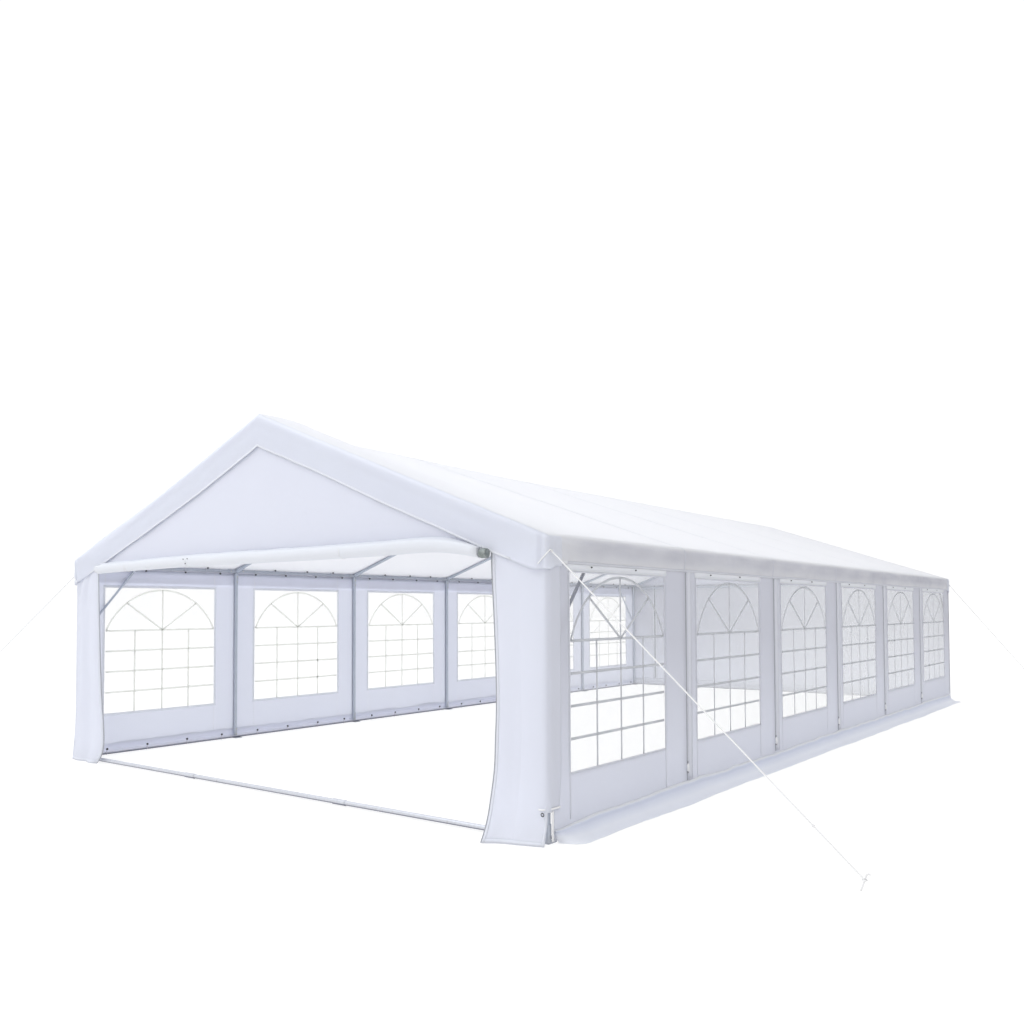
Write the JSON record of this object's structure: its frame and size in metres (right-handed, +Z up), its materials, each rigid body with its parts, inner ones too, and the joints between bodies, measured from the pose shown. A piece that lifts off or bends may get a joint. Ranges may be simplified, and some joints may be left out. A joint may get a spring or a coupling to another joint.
{
  "type": "event tent",
  "caption": "White event tent with a tube frame, pitched fabric roof, window walls along both sides and an open front with its door rolled up.",
  "frame": {"origin": "middle of the tent's plan, on the ground", "axes": "+Z up, +Y along the tent towards the closed rear wall, +X to the right as seen from outside the open front"},
  "size_m": [10.0212, 14.5064, 3.2655],
  "materials": {
    "roof_fabric": "white coated fabric, faint weave",
    "wall_fabric": "white coated fabric, hanging in soft folds",
    "clear_film": "clear flexible film with printed bars",
    "steel_tube": "grey-blue coated steel, satin",
    "grey_cap": "dull dark grey",
    "white_rope": "braided white rope"
  },
  "bodies": {
    "root": {"brace_front_left": "steel_tube", "brace_front_right": "steel_tube", "brace_rear_left": "steel_tube", "brace_rear_right": "steel_tube", "eave_rail_left": "steel_tube", "eave_rail_right": "steel_tube", "front_curtain_left": "wall_fabric", "front_curtain_right": "wall_fabric", "front_gable": "roof_fabric", "ground_bar_front": "steel_tube", "ground_bar_left": "steel_tube", "ground_bar_rear": "steel_tube", "ground_bar_right": "steel_tube", "guy_rope_front_left": "white_rope", "guy_rope_front_right": "white_rope", "guy_rope_rear_left": "white_rope", "guy_rope_rear_right": "white_rope", "header_front": "steel_tube", "header_rear": "steel_tube", "post_left_1": "steel_tube", "post_left_2": "steel_tube", "post_left_3": "steel_tube", "post_left_4": "steel_tube", "post_left_5": "steel_tube", "post_left_6": "steel_tube", "post_left_7": "steel_tube", "post_right_1": "steel_tube", "post_right_2": "steel_tube", "post_right_3": "steel_tube", "post_right_4": "steel_tube", "post_right_5": "steel_tube", "post_right_6": "steel_tube", "post_right_7": "steel_tube", "rafter_left_1": "steel_tube", "rafter_left_2": "steel_tube", "rafter_left_3": "steel_tube", "rafter_left_4": "steel_tube", "rafter_left_5": "steel_tube", "rafter_left_6": "steel_tube", "rafter_left_7": "steel_tube", "rafter_right_1": "steel_tube", "rafter_right_2": "steel_tube", "rafter_right_3": "steel_tube", "rafter_right_4": "steel_tube", "rafter_right_5": "steel_tube", "rafter_right_6": "steel_tube", "rafter_right_7": "steel_tube", "rear_gable": "roof_fabric", "rear_wall": "wall_fabric", "ridge_beam": "steel_tube", "roll_pole_cap": "grey_cap", "rolled_door": "roof_fabric", "roof_cover": "roof_fabric", "skirt_left": "wall_fabric", "skirt_right": "wall_fabric", "wall_left": "wall_fabric", "wall_right": "wall_fabric", "window_film_left": "clear_film", "window_film_right": "clear_film"}
  },
  "joints": []
}
